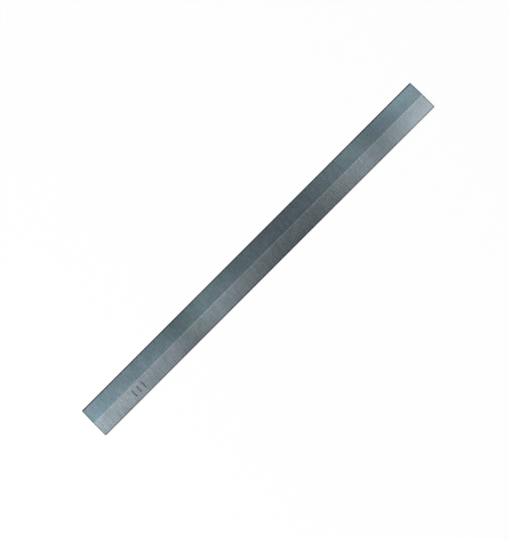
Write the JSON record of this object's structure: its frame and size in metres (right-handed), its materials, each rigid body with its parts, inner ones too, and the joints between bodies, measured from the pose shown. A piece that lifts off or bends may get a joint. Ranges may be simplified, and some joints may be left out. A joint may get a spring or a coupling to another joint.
{
  "type": "planer knife",
  "caption": "Straight planer knife: a flat steel bar with a full-thickness land beside its spine, a wide relief-ground facet and a narrow cutting bevel along its long edge.",
  "frame": {"origin": "under the middle of the knife, on the flat rake face that it lies on", "axes": "+X along the knife, +Y towards its cutting edge, +Z through its thickness, out of the ground side"},
  "size_m": [0.4064, 0.0302, 0.0032],
  "materials": {
    "tool_steel": "fine ground"
  },
  "bodies": {
    "root": {"planer_knife": "tool_steel"}
  },
  "joints": []
}
